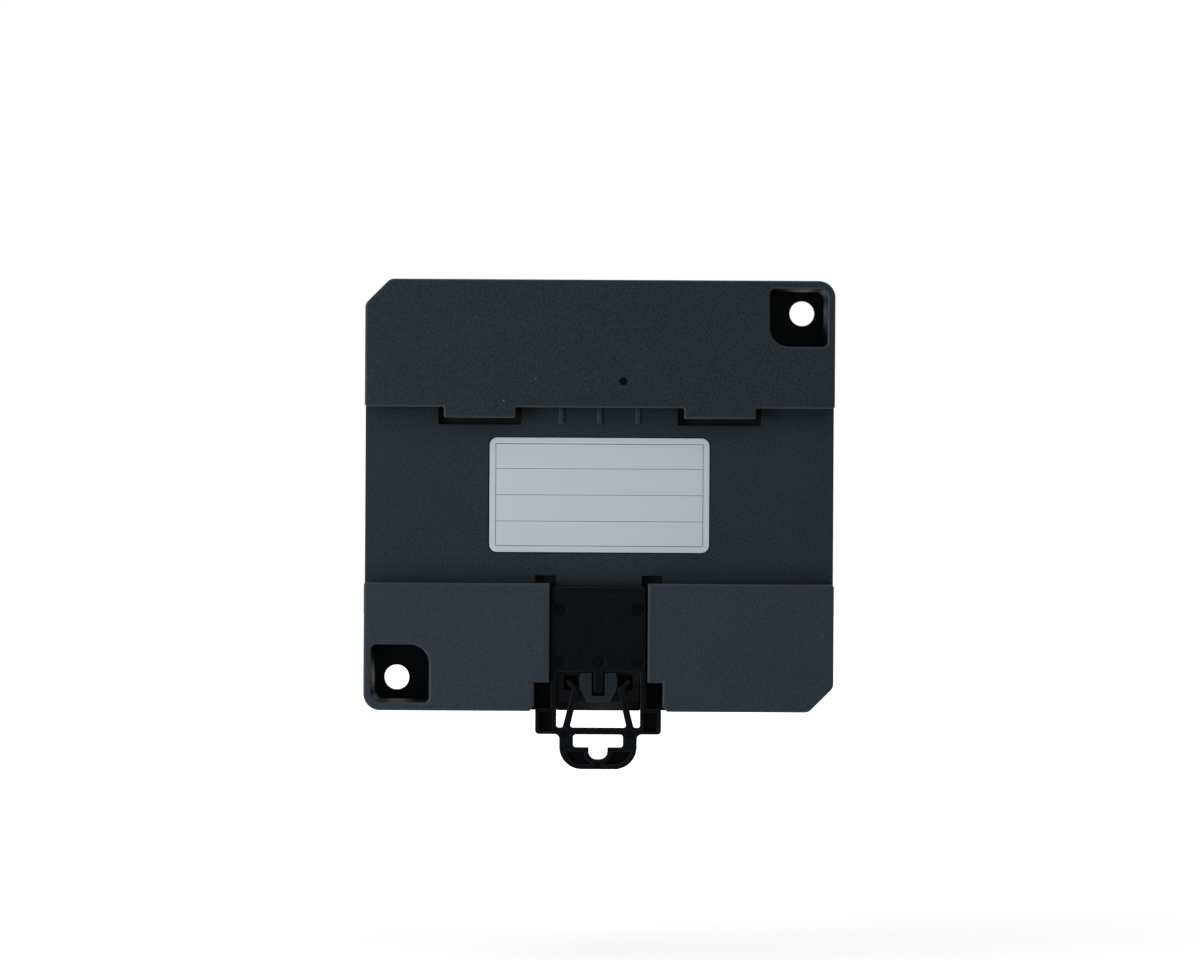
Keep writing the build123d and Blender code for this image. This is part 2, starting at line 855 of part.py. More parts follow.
def make_din_latch():
    """Latch moulding: plate, guide wings, window with stem and arms, shoulders and pull loop."""
    frame = rectangle((-latch_half_width, latch_half_width), (-shoulder_bottom, -latch_top),
                      (0, 0, latch_top_radius, latch_top_radius))
    body = slab(frame, latch_front, latch_rear)
    web = block((latch_web_inner, latch_half_width), (-latch_wing_front, latch_front),
                (-shoulder_top, -latch_wing_top))
    wing = block((latch_web_inner, latch_wing_outer), (-latch_wing_front, latch_wing_rear),
                 (-shoulder_top, -latch_wing_top))
    body = body + both_sides(web + wing)
    foot_cut = block((-latch_window_half, latch_window_half), (-latch_wing_front, latch_front),
                     (-loop_bottom, -latch_window_top))
    body = body + (latch_loop() - foot_cut)
    body = body - slab(latch_window(), latch_front, latch_rear)
    rear_edges = body.edges().filter_by_position(Axis.Y, latch_rear, latch_rear)
    body = fillet(rear_edges, latch_edge_radius)

    pocket = block((shoulder_pocket_inner, shoulder_pocket_outer),
                   (latch_rear - latch_pocket_depth, latch_rear + overrun),
                   (-shoulder_pocket_bottom, -shoulder_pocket_top))
    body = body - both_sides(pocket)
    upper_marks = both_sides(latch_mark(mark_side_x, mark_upper_z, ejector_mark_radius, upper_mark_depth))
    side_marks = both_sides(latch_mark(mark_side_x, mark_lower_z, ejector_mark_radius))
    foot_marks = both_sides(latch_mark(foot_mark_x, foot_mark_z, small_mark_radius))
    body = body - upper_marks - side_marks - foot_marks
    body = body - latch_mark(0, mark_lower_z, ejector_mark_radius)
    body = body - latch_mark(0, tip_mark_z, tip_mark_radius)
    mark = latch_mark(mark_shoulder_x, mark_shoulder_z, small_mark_radius,
                      latch_pocket_depth + ejector_mark_depth)
    return body - both_sides(mark)


def latch_mark(x, z, radius, depth=ejector_mark_depth):
    """Shallow round mark that an ejector pin leaves in the rear of the latch."""
    return disc(x, -z, radius, latch_rear - depth, latch_rear + overrun)


def make_main_board():
    """Board that carries the terminals, the sockets and the supply."""
    edge = wall + board_edge_gap
    shape = case_outline(edge)
    cut = well_outline(well_partition + board_edge_gap)
    shape = shape - cut - Rot(0, 0, 180) * cut
    board = slab(shape, board_front, board_rear)
    holes = four_places(board_boss_x, board_boss_z) + four_places(spacer_x, spacer_z)
    for x, z in holes:
        board = board - board_hole(x, z)
    for leg in terminal_contact_legs() + socket_pin_tails():
        board = board - leg
    for pin in link_pins():
        board = board - pin
    return board


def board_hole(x, z):
    return disc(x, z, board_screw_radius + fit_gap, board_front - overrun, board_rear + overrun)


def screw_along_y(x, z, seat, length, radius, head_radius, head, towards):
    """Pan-head screw whose head rests on a seat level; towards is +1 for a tip at the rear."""
    shank = disc(x, z, radius, *sorted((seat, seat + towards * length)))
    cap = disc(x, z, head_radius, *sorted((seat, seat - towards * head)))
    slot_floor = seat - towards * head / 2
    slot = block(around(x, 2 * head_radius), sorted((slot_floor, seat - towards * 2 * head)),
                 around(z, driver_slot_width))
    return shank + cap - slot


def screw_set(places, seat, length, towards):
    radius = board_screw_radius - fit_gap
    return Compound(children=[
        screw_along_y(x, z, seat, length, radius, board_screw_head_radius, board_screw_head,
                      towards)
        for x, z in places
    ])


def make_main_board_screws():
    return screw_set(four_places(board_boss_x, board_boss_z), board_front, board_screw_length, 1)


def make_spacer_screws():
    return screw_set(four_places(spacer_x, spacer_z), board_rear, spacer_screw_length, -1)


def make_control_board_screws():
    return screw_set(four_places(spacer_x, spacer_z), control_front, spacer_screw_length, 1)


def make_board_spacers():
    """Four posts that carry the control board."""
    posts = []
    for x, z in four_places(spacer_x, spacer_z):
        post = disc(x, z, spacer_radius, control_rear, board_front)
        posts.append(post - disc(x, z, spacer_bore, control_rear, board_front))
    return Compound(children=posts)


def make_control_board():
    half_x = control_board_width / 2
    half_z = control_board_height / 2
    shape = rectangle((-half_x, half_x), (-half_z, half_z), [overlay_radius] * 4)
    board = slab(shape, control_front, control_rear)
    for x, z in four_places(spacer_x, spacer_z):
        board = board - disc(x, z, board_screw_radius + fit_gap, control_front, control_rear)
    return board


def link_pins():
    """Square pins that join the two boards."""
    pins = []
    for index in range(link_pin_count):
        x = (index - (link_pin_count - 1) / 2) * link_pin_pitch
        pins.append(block(around(x, link_pin), (control_rear + fit_gap, board_rear + solder_reach),
                          around(link_z, link_pin)))
    return pins


def link_strip(front, rear):
    """Plastic strip round the link pins."""
    width = link_pin_count * link_pin_pitch
    strip = block(around(0, width), (front, rear), around(link_z, link_width))
    for pin in link_pins():
        strip = strip - pin
    return strip


def make_link_base():
    return link_strip(board_front - link_base_height, board_front)


def make_link_socket():
    return link_strip(control_rear, control_rear + link_socket_height)


def make_link_pins():
    return Compound(children=link_pins())


def terminal_screw_z():
    """Middle of the clamp chambers, where the screws stand."""
    return chamber_mouth + chamber_length / 2


def terminal_contact_leg(x, rear):
    """Leg of a contact, from its bar to a level behind."""
    leg_z = (terminal_back - socket_tail_gap - contact_thickness, terminal_back - socket_tail_gap)
    return block(around(x, contact_leg_width), (contact_front, rear), leg_z)


def terminal_contact_legs():
    return [terminal_contact_leg(x, board_rear + solder_reach) for x in pole_places()]


def terminal_contact_bar(x):
    """Fixed bar that the clamp presses the wire against."""
    bar_z = (chamber_mouth + socket_tail_gap, terminal_back - socket_tail_gap)
    return block(around(x, contact_width), (contact_front, contact_front + contact_thickness), bar_z)


def make_terminal_contacts():
    legs = terminal_contact_legs()
    bars = [terminal_contact_bar(x) for x in pole_places()]
    return Compound(children=[bar + leg for bar, leg in zip(bars, legs)])


def make_terminal_body():
    """Terminal moulding with a wire entry, a clamp chamber and a screw hole for each pole."""
    half = pole_count * pole_pitch / 2 + terminal_side
    body = block((-half, half), (terminal_front, board_front), (terminal_mouth, terminal_back))
    for x in pole_places():
        entry = block(around(x, entry_width), (entry_top() - entry_height, entry_top()),
                      (terminal_mouth - overrun, chamber_mouth))
        chamber = block(around(x, chamber_width), (chamber_front, chamber_rear),
                        (chamber_mouth, chamber_mouth + chamber_length))
        z = terminal_screw_z()
        hole = disc(x, z, screw_radius + screw_clearance, terminal_front - overrun, chamber_rear)
        head = disc(x, z, screw_head_radius + fit_gap, terminal_front - overrun, screw_head_floor)
        body = body - entry - chamber - hole - head
        body = body - terminal_contact_bar(x) - terminal_contact_leg(x, board_front + overrun)
    return body


def make_terminal_screw(x):
    """Slotted screw that turns in place and draws its clamp forwards."""
    z = terminal_screw_z()
    tip = contact_front - fit_gap
    head_front = screw_head_floor - fit_gap - screw_head_height
    shank = disc(x, z, screw_radius, head_front, tip)
    head = disc(x, z, screw_head_radius, head_front, head_front + screw_head_height)
    slot = block(around(x, 2 * screw_head_radius + overrun),
                 (head_front - overrun, head_front + driver_slot_depth),
                 around(z, driver_slot_width))
    return shank + head - slot


def make_terminal_clamp(x):
    """Box clamp that rises with its screw and grips the wire."""
    z = terminal_screw_z()
    cage = block(around(x, cage_width), (cage_front, cage_rear), around(z, cage_length))
    window = block(around(x, cage_window_width),
                   (cage_front + cage_roof, cage_rear - cage_floor),
                   around(z, cage_length + overrun))
    hole = disc(x, z, screw_radius + screw_clearance, cage_front, cage_front + cage_roof)
    return cage - window - hole


def socket_pin_row(x):
    return [x - socket_pin_pitch / 2, x + socket_pin_pitch / 2]


def socket_pin_level():
    """Middle of a socket's room, where its pins lie."""
    return board_front - socket_height / 2


def socket_pin_tail(x):
    """Tail of a pin, from its level behind the socket down through the board."""
    tail_z = (socket_back_face - socket_tail_gap - socket_pin, socket_back_face - socket_tail_gap)
    return block(around(x, socket_pin), (socket_pin_level(), board_rear + solder_reach), tail_z)


def socket_pin_tails():
    return [socket_pin_tail(x) for place in socket_places() for x in socket_pin_row(place)]


def socket_pin_rod(x):
    """Straight part of a pin, through the socket's back and into its room."""
    tip = socket_back_face + socket_back + socket_pin_reach
    tail = socket_back_face - socket_tail_gap - socket_pin
    return block(around(x, socket_pin), around(socket_pin_level(), socket_pin), (tail, tip))


def make_socket_pins():
    pins = []
    for place in socket_places():
        pins += [socket_pin_rod(x) + socket_pin_tail(x) for x in socket_pin_row(place)]
    return Compound(children=pins)


def make_sensor_socket(x):
    """Open box that takes the plug of one current sensor."""
    body = block(around(x, socket_width), (socket_front, board_front),
                 (socket_back_face, socket_mouth))
    room = block(around(x, socket_width - 2 * socket_wall),
                 (socket_front + socket_wall, board_front - socket_wall),
                 (socket_back_face + socket_back, socket_mouth + overrun))
    body = body - room
    for pin_x in socket_pin_row(x):
        body = body - socket_pin_rod(pin_x)
    return body


def make_transformer_core():
    """Ferrite core with two windows round its middle leg."""
    core = block(around(core_x, core_width), (board_front - core_depth, board_front - bobbin_flange),
                 around(core_z, core_height))
    window_width = (core_width - 2 * core_leg) / 2 - core_leg / 2
    for side in (-1, 1):
        window_x = core_x + side * (core_leg / 2 + window_width / 2)
        core = core - block(around(window_x, window_width),
                            (board_front - core_depth - overrun, board_front),
                            around(core_z, core_height - 2 * core_leg))
    return core


def make_transformer_winding():
    """Winding round the core's middle leg, on the flange that stands on the board."""
    depth = (board_front - core_depth, board_front - bobbin_flange)
    inner_height = core_height - 2 * core_leg
    inner_width = core_width - 2 * core_leg
    coil = block(around(core_x, inner_width), depth, around(core_z, inner_height))
    coil = coil - block(around(core_x, core_leg), depth, around(core_z, core_height))
    flange = block(around(core_x, core_width), (board_front - bobbin_flange, board_front),
                   around(core_z, core_height))
    return coil + flange


def make_bulk_capacitors():
    cans = []
    for index in range(2):
        x = capacitor_x + index * capacitor_pitch
        can = disc(x, capacitor_z, capacitor_radius, board_front - capacitor_length, board_front)
        cans.append(fillet(can.edges().sort_by(Axis.Y)[0], clip_thickness))
    return Compound(children=cans)


def make_bridge_rectifier():
    return block(around(rectifier_x, rectifier_size), (board_front - rectifier_height, board_front),
                 around(rectifier_z, rectifier_size))


def fuse_tube(radius, length):
    level = board_front - fuse_rise
    return Pos(fuse_x, level, fuse_z) * Rot(0, 90, 0) * Cylinder(radius, length)


def fuse_ends():
    return [fuse_x + side * (fuse_length - fuse_cap_length) / 2 for side in (-1, 1)]


def make_line_fuse():
    """Ceramic fuse with two metal caps, as one cartridge."""
    waist = fuse_tube(fuse_radius - clip_thickness / 2, fuse_length - 2 * fuse_cap_length)
    caps = fuse_tube(fuse_radius, fuse_length) - fuse_tube(2 * fuse_radius,
                                                          fuse_length - 2 * fuse_cap_length)
    return waist + caps


def make_fuse_clips():
    """Two spring clips under the fuse's caps."""
    level = board_front - fuse_rise
    clips = []
    for x in fuse_ends():
        outer = block(around(x, clip_length), (level, board_front),
                      around(fuse_z, 2 * (fuse_radius + clip_thickness)))
        clips.append(outer - fuse_tube(fuse_radius, 2 * fuse_length))
    return Compound(children=clips)


def make_surge_varistors():
    discs = []
    level = board_front - varistor_lift - varistor_radius
    for index in range(varistor_count):
        x = varistor_x + index * varistor_pitch
        body = Pos(x, level, varistor_z) * Rot(0, 90, 0) * Cylinder(varistor_radius,
                                                                    varistor_thickness)
        lead = block(around(x, contact_thickness), (level, board_front),
                     around(varistor_z, varistor_radius))
        discs.append(body + lead)
    return Compound(children=discs)


def choke_ring(radius, bore, length, middle):
    ring = Cylinder(radius, length) - Cylinder(bore, length + overrun)
    return Pos(choke_x, middle, choke_z) * Rot(90, 0, 0) * ring


def choke_middle():
    return board_front - choke_coil_thickness - choke_length / 2


def make_choke_core():
    return choke_ring(choke_radius, choke_bore, choke_length, choke_middle())


def make_choke_windings():
    """Two windings, one on each side of the ring."""
    outer = choke_ring(choke_radius + choke_coil_thickness, choke_bore - choke_coil_thickness,
                       choke_length + 2 * choke_coil_thickness, choke_middle())
    reach = choke_radius + choke_coil_thickness
    band = block(around(choke_x, 2 * reach), (choke_middle() - choke_length, board_front),
                 around(choke_z, choke_coil_width))
    coils = (outer & band) - make_choke_core()
    middle = block(around(choke_x, 2 * (choke_bore - choke_coil_thickness)),
                   (choke_middle() - choke_length, board_front), around(choke_z, 2 * reach))
    return coils - middle


def chip(x, z, size, front_of):
    return block(around(x, size), (front_of - chip_height, front_of), around(z, size))


def make_burden_resistors():
    return Compound(children=[
        block(around(x, burden_width), (board_front - burden_height, board_front),
              around(burden_z, burden_length))
        for x in socket_places()
    ])


def make_radio_board():
    return block(around(radio_x, radio_width), (control_front - radio_board_thickness, control_front),
                 around(radio_z, radio_height))


def make_radio_shield():
    """Folded can over the radio board."""
    seat = control_front - radio_board_thickness
    width = radio_width - 2 * shield_margin
    height = radio_height - 2 * shield_margin
    can = block(around(radio_x, width), (seat - shield_height, seat), around(radio_z, height))
    room = block(around(radio_x, width - 2 * shield_skin), (seat - shield_height + shield_skin, seat),
                 around(radio_z, height - 2 * shield_skin))
    return can - room


def make_antenna_board():
    """Small flat antenna board on two feet."""
    seat = control_front - antenna_foot
    plate = block(around(antenna_x, antenna_width), (seat - antenna_thickness, seat),
                  around(antenna_z, antenna_height))
    for side in (-1, 1):
        foot_x = antenna_x + side * (antenna_width - antenna_foot) / 2
        plate = plate + block(around(foot_x, antenna_foot), (seat, control_front),
                              around(antenna_z, antenna_height))
    return plate


def make_reserve_capacitor():
    """Coin-shaped reserve capacitor for the clock."""
    return disc(reserve_x, reserve_z, reserve_radius, control_front - reserve_length, control_front)


def make_status_leds():
    return Compound(children=[
        block(around(x, led_width), (led_front, control_front), around(light_z, led_width))
        for x in light_places()
    ])


def make_light_pipes():
    """Clear rods that carry the lights to the front face."""
    tip = overlay_floor - overlay_thickness
    pipes = []
    for x in light_places():
        rod = disc(x, light_z, light_radius, tip, led_front - led_gap)
        flange = disc(x, light_z, light_flange_radius, platform_inner + fit_gap,
                      platform_inner + fit_gap + light_flange)
        pipes.append(rod + flange)
    return Compound(children=pipes)


def switch_body(x, z, base, towards):
    """Push switch standing on a board; towards is +1 where it points to the rear."""
    top = base + towards * switch_height
    body = block(around(x, switch_size), sorted((base, top)), around(z, switch_size))
    bore = disc(x, z, plunger_radius + plunger_clearance,
                *sorted((top - towards * switch_bore_depth, top + towards * overrun)))
    return body - bore


def plunger(x, z, base, towards):
    top = base + towards * switch_height
    ends = sorted((top - towards * plunger_depth, top + towards * plunger_rise))
    return disc(x, z, plunger_radius, *ends)


def make_setup_button():
    """Button cap with the flange that holds it and the stem that meets the switch."""
    flange_front = platform_inner + fit_gap
    flange_rear = flange_front + button_flange
    cap = disc(button_x, button_z, button_radius, -(platform_depth + button_rise), flange_front)
    cap = fillet(cap.edges().sort_by(Axis.Y)[0], min(clip_thickness, button_rise / 2))
    flange = disc(button_x, button_z, button_flange_radius, flange_front, flange_rear)
    stem = disc(button_x, button_z, button_stem_radius, flange_rear,
                plunger_front - plunger_contact_gap)
    return cap + flange + stem


def build_parts():
    """Every piece of the monitor by the name of its node."""
    parts = {
        "rear_housing": make_rear_housing(),
        "front_cover": make_front_cover(),
        "front_overlay": make_front_overlay(),
        "rating_plate": make_rating_plate(),
        "insulating_sheet": make_insulating_sheet(),
        "din_latch": make_din_latch(),
        "main_board": make_main_board(),
        "main_board_screws": make_main_board_screws(),
        "board_spacers": make_board_spacers(),
        "spacer_screws": make_spacer_screws(),
        "control_board": make_control_board(),
        "control_board_screws": make_control_board_screws(),
        "link_base": make_link_base(),
        "link_socket": make_link_socket(),
        "link_pins": make_link_pins(),
        "terminal_body": make_terminal_body(),
        "terminal_contacts": make_terminal_contacts(),
        "sensor_socket_pins": make_socket_pins(),
        "transformer_core": make_transformer_core(),
        "transformer_winding": make_transformer_winding(),
        "bulk_capacitors": make_bulk_capacitors(),
        "bridge_rectifier": make_bridge_rectifier(),
        "line_fuse": make_line_fuse(),
        "fuse_clips": make_fuse_clips(),
        "surge_varistors": make_surge_varistors(),
        "choke_core": make_choke_core(),
        "choke_windings": make_choke_windings(),
        "metering_chip": chip(metering_x, metering_z, metering_size, board_front),
        "burden_resistors": make_burden_resistors(),
        "processor_chip": chip(processor_x, processor_z, processor_size, control_front),
        "radio_board": make_radio_board(),
        "radio_shield": make_radio_shield(),
        "antenna_board": make_antenna_board(),
        "reserve_capacitor": make_reserve_capacitor(),
        "status_leds": make_status_leds(),
        "light_pipes": make_light_pipes(),
        "setup_switch": switch_body(button_x, button_z, control_front, -1),
        "setup_plunger": plunger(button_x, button_z, control_front, -1),
        "setup_button": make_setup_button(),
        "reset_switch": switch_body(pinhole_x, pinhole_z, board_rear, 1),
        "reset_plunger": plunger(pinhole_x, pinhole_z, board_rear, 1),
    }
    for number, x in enumerate(pole_places(), start=1):
        parts[f"terminal_screw_{number}"] = make_terminal_screw(x)
        parts[f"terminal_clamp_{number}"] = make_terminal_clamp(x)
    for number, x in enumerate(socket_places(), start=1):
        parts[f"sensor_socket_{number}"] = make_sensor_socket(x)
    return parts


os.makedirs("parts", exist_ok=True)
for name, shape in build_parts().items():
    export_step(shape, f"parts/{name}.step")
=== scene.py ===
from math import pi, radians

import bmesh
import bpy
from mathutils import Matrix, Vector


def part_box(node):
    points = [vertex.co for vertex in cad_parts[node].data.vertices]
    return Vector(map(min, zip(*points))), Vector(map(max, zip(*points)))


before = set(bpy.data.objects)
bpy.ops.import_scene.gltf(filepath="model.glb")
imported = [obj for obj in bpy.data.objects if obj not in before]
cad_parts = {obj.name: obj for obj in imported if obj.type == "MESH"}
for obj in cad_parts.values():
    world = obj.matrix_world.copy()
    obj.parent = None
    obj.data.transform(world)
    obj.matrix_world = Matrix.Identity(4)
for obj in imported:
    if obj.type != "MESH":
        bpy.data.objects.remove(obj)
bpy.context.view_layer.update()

# Camera: long lens, square on to the rear of the case. The roll is in degrees.
camera_distance = 1.12
rear_level = 0.0055
pixels_per_metre = 4800.0
picture_width = 1200
sensor_width = 36.0
camera_x = -0.00012
camera_z = 0.00326
camera_roll = 0.32

# Floor and surroundings. The floor's glow grows with distance, from the near to the far value.
floor_level = -0.10
floor_half = 3.0
floor_colour = (0.86, 0.86, 0.86, 1.0)
floor_near_glow = 0.36
floor_far_glow = 1.0
floor_near_reach = 0.2
floor_far_reach = 0.7
sky_level = 0.42
white = (1.0, 1.0, 1.0, 1.0)

# Soft square lamps: name, place, side and power.
lamps = (
    ("near lamp", (0.34, 0.30, -0.01), 0.16, 1.5),
    ("rear lamp left", (0.75, 0.85, 0.95), 0.7, 3.0),
    ("rear lamp right", (-0.75, 0.85, 0.85), 0.7, 2.1),
    ("front lamp left", (-0.8, -0.85, 0.6), 0.7, 3.4),
    ("front lamp right", (0.8, -0.85, 0.4), 0.7, 3.0),
)

# Places on the case where its skin differs, from the middle of the rail seat.
# Pads and bay: the lower block, where it stands above the channel's floor. The pads get painted
# light, the bay painted shade.
pad_top = -0.0183
pad_level = 0.0002
bay_half = 0.0101
# Pressure ribs, which stand a little above the rail seat.
seat_half = 0.0182
rib_middle = 0.0004
rib_reach = 0.00025
# Screw wells in two opposite corners, which get painted shade. X and Z are distances from the
# middle, whichever way.
well_middle_x = 0.04105
well_half_x = 0.00655
well_middle_z = 0.037
well_half_z = 0.0065
well_middle_y = -0.0067
well_half_y = 0.0115

# Floors of the ejector pins' marks, as a depth under the latch's rear face.
mark_depth = 0.0003
mark_reach = 0.00015

# Printed lines: distance of the border from the film's edge, half widths of lines, and gaps.
form_margin = 0.0013
form_line = 0.00008
rule_line = 0.00006
rule_levels = (0.0055, 0.0, -0.0055)
front_margin = 0.0016
front_line = 0.00012
ring_line = 0.00016
button_ring_gap = 0.0018
light_ring_gap = 0.0004

# Colours of the finishes, as linear values.
slate = (0.0088, 0.0146, 0.0198, 1.0)
# Colour of the lower pads under their painted light.
lit_pad_grey = (0.0146, 0.0210, 0.0277, 1.0)
nylon_black = (0.0014, 0.0021, 0.0032, 1.0)
dust_colour = (0.12, 0.14, 0.15, 1.0)
ink_colour = (0.030, 0.034, 0.038, 1.0)
front_line_colour = (0.23, 0.25, 0.27, 1.0)
track_colour = (0.030, 0.150, 0.060, 1.0)

# Tints that a finish is multiplied by in places: painted light on the pads, painted shade in the
# bay, wells and mark floors, and lighter ribs.
pad_light_tint = (1.66, 1.44, 1.40)
bay_shade_tint = (0.50, 0.54, 0.58)
rib_tint = (2.0, 1.9, 1.8)
well_shade_tint = (0.35, 0.35, 0.35)
mark_shade_tint = (0.4, 0.4, 0.4)

# Painted shade, painted highlight and dust: reach of the painted shade from a corner, how fast the
# painted edge highlight fades in it, and the dust specks' cells.
shade_reach = 0.006
highlight_fade = 1.8
speck_scale = 300.0


def shader_node(tree, kind, inputs, **settings):
    """Add a node; each input takes a plain value or the socket that feeds it."""
    node = tree.nodes.new("ShaderNode" + kind)
    for name, value in settings.items():
        setattr(node, name, value)
    for key, value in inputs.items():
        if isinstance(value, bpy.types.NodeSocket):
            tree.links.new(value, node.inputs[key])
        else:
            node.inputs[key].default_value = value
    return node


def maths(tree, operation, first, second=0.0, third=0.0):
    inputs = {0: first, 1: second, 2: third}
    return shader_node(tree, "Math", inputs, operation=operation).outputs[0]


def mix_colours(tree, share, first, second):
    """The first colour where the share is 0, the second where it is 1."""
    # Sockets 6 and 7 of the node are its two colours, and 2 is their mix.
    node = shader_node(tree, "Mix", {0: share, 6: first, 7: second}, data_type="RGBA")
    return node.outputs[2]


def scale_colour(tree, colour, factor):
    if isinstance(colour, tuple):
        colour = colour[:3]
    inputs = {0: colour, "Scale": factor}
    return shader_node(tree, "VectorMath", inputs, operation="SCALE").outputs[0]


def tinted(tree, mask, shade, tint):
    """A colour multiplied by a tint where the mask is 1."""
    other = shader_node(tree, "VectorMath", {0: shade, 1: tint}, operation="MULTIPLY")
    return mix_colours(tree, mask, shade, other.outputs[0])


def object_place(tree):
    return shader_node(tree, "TexCoord", {}).outputs["Object"]


def object_axes(tree):
    return shader_node(tree, "SeparateXYZ", {0: object_place(tree)}).outputs


def centred_axes(tree, node_name):
    """A node's X and Z coordinates from its middle, with half its width and height."""
    low, high = (Vector(corner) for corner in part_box(node_name))
    middle = (low + high) / 2
    half = (high - low) / 2
    axes = object_axes(tree)
    x = maths(tree, "SUBTRACT", axes[0], middle.x)
    z = maths(tree, "SUBTRACT", axes[2], middle.z)
    return x, z, half.x, half.z


def band(tree, value, middle, half):
    """1 where a value lies within a narrow band, 0 elsewhere."""
    away = maths(tree, "ABSOLUTE", maths(tree, "SUBTRACT", value, middle))
    return maths(tree, "LESS_THAN", away, half)


def noise(tree, place, scale, detail=2.0):
    inputs = {"Vector": place, "Scale": scale, "Detail": detail}
    return shader_node(tree, "TexNoise", inputs).outputs[0]


def rounded_edges(tree, radius):
    """The surface's normal, with its edges rounded off."""
    return shader_node(tree, "Bevel", {"Radius": radius}, samples=4).outputs[0]


def new_group(name, inputs, outputs):
    """Node group with named sockets; gives the group and its inner ends."""
    tree = bpy.data.node_groups.new(name, "ShaderNodeTree")
    for label, kind in inputs:
        tree.interface.new_socket(label, in_out="INPUT", socket_type="NodeSocket" + kind)
    for label, kind in outputs:
        tree.interface.new_socket(label, in_out="OUTPUT", socket_type="NodeSocket" + kind)
    given = tree.nodes.new("NodeGroupInput").outputs
    asked = tree.nodes.new("NodeGroupOutput").inputs
    return tree, given, asked


def feed(tree, asked, **sources):
    for name, source in sources.items():
        tree.links.new(source, asked[name])


def use_group(tree, group, inputs):
    return shader_node(tree, "Group", inputs, node_tree=group).outputs


def make_moulded_grain():
    """Spark-eroded skin of a moulding: grain, soft patches, rounded edges and their mask."""
    patch_scale = 70.0
    patch_share = 0.08
    gloss_spread = 0.25
    tree, given, asked = new_group(
        "moulded_grain",
        [("Colour", "Color"), ("Roughness", "Float"), ("Grain Scale", "Float"),
         ("Grain Depth", "Float"), ("Mottle", "Float"), ("Edge Radius", "Float")],
        [("Colour", "Color"), ("Roughness", "Float"), ("Normal", "Vector"), ("Edge", "Float")],
    )
    place = object_place(tree)
    grain = noise(tree, place, given["Grain Scale"], detail=3.0)
    patches = noise(tree, place, patch_scale)
    fine = maths(tree, "SUBTRACT", grain, 0.5)
    soft = maths(tree, "SUBTRACT", patches, 0.5)
    both = maths(tree, "MULTIPLY_ADD", soft, patch_share, fine)
    factor = maths(tree, "MULTIPLY_ADD", both, given["Mottle"], 1.0)
    rough = maths(tree, "MULTIPLY_ADD", fine, gloss_spread, given["Roughness"])
    edge = rounded_edges(tree, given["Edge Radius"])
    bump = shader_node(tree, "Bump", {"Height": grain, "Distance": given["Grain Depth"],
                                      "Normal": edge})
    # Faces to the rear or front have a tilt of 1 and the sides 0, and edges lie between them.
    # Four times the product of tilt and flat is 1 where an edge has turned halfway.
    tilt = maths(tree, "ABSOLUTE", shader_node(tree, "SeparateXYZ", {0: edge}).outputs[1])
    flat = maths(tree, "SUBTRACT", 1.0, tilt)
    bend = maths(tree, "MULTIPLY", maths(tree, "MULTIPLY", tilt, flat), 4.0)
    feed(tree, asked, Colour=scale_colour(tree, given["Colour"], factor), Roughness=rough,
         Normal=bump.outputs[0], Edge=maths(tree, "MINIMUM", bend, 1.0))
    return tree


def make_recess_shade():
    """Mask of the corners and recesses, which get painted shade and where the painted edge highlight
    fades.
    """
    tree, given, asked = new_group("recess_shade", [("Reach", "Float")], [("Mask", "Float")])
    open_share = shader_node(tree, "AmbientOcclusion", {"Distance": given["Reach"]}, samples=6)
    feed(tree, asked, Mask=maths(tree, "SUBTRACT", 1.0, open_share.outputs["AO"]))
    return tree


def make_dust_specks():
    """Mask of a few tiny specks of dust that lie on a surface."""
    largest_speck = 0.05
    tree, given, asked = new_group(
        "dust_specks", [("Scale", "Float"), ("Share", "Float")], [("Mask", "Float")]
    )
    inputs = {"Vector": object_place(tree), "Scale": given["Scale"]}
    cells = shader_node(tree, "TexVoronoi", inputs)
    parts = shader_node(tree, "SeparateColor", {0: cells.outputs["Color"]}).outputs
    size = maths(tree, "MULTIPLY", parts[1], largest_speck)
    near = maths(tree, "LESS_THAN", cells.outputs["Distance"], size)
    chosen = maths(tree, "LESS_THAN", parts[0], given["Share"])
    feed(tree, asked, Mask=maths(tree, "MULTIPLY", near, chosen))
    return tree


def make_drawn_metal():
    """Metal that was drawn or rolled: fine lines along one direction and tarnish."""
    tarnish_scale = 260.0
    tarnish_share = 0.35
    gloss_spread = 0.3
    tree, given, asked = new_group(
        "drawn_metal",
        [("Colour", "Color"), ("Roughness", "Float"), ("Stretch", "Vector"), ("Depth", "Float"),
         ("Edge Radius", "Float")],
        [("Colour", "Color"), ("Roughness", "Float"), ("Normal", "Vector")],
    )
    stretched = shader_node(tree, "VectorMath", {0: object_place(tree), 1: given["Stretch"]},
                            operation="MULTIPLY").outputs[0]
    lines = noise(tree, stretched, 1.0, detail=3.0)
    tarnish = noise(tree, object_place(tree), tarnish_scale, detail=3.0)
    shift = maths(tree, "SUBTRACT", tarnish, 0.5)
    factor = maths(tree, "MULTIPLY_ADD", shift, tarnish_share, 1.0)
    spread = maths(tree, "SUBTRACT", lines, 0.5)
    rough = maths(tree, "MULTIPLY_ADD", spread, gloss_spread, given["Roughness"])
    bump = shader_node(tree, "Bump", {"Height": lines, "Distance": given["Depth"],
                                      "Normal": rounded_edges(tree, given["Edge Radius"])})
    feed(tree, asked, Colour=scale_colour(tree, given["Colour"], factor), Roughness=rough,
         Normal=bump.outputs[0])
    return tree


moulded_grain = make_moulded_grain()
recess_shade = make_recess_shade()
dust_specks = make_dust_specks()
drawn_metal = make_drawn_metal()


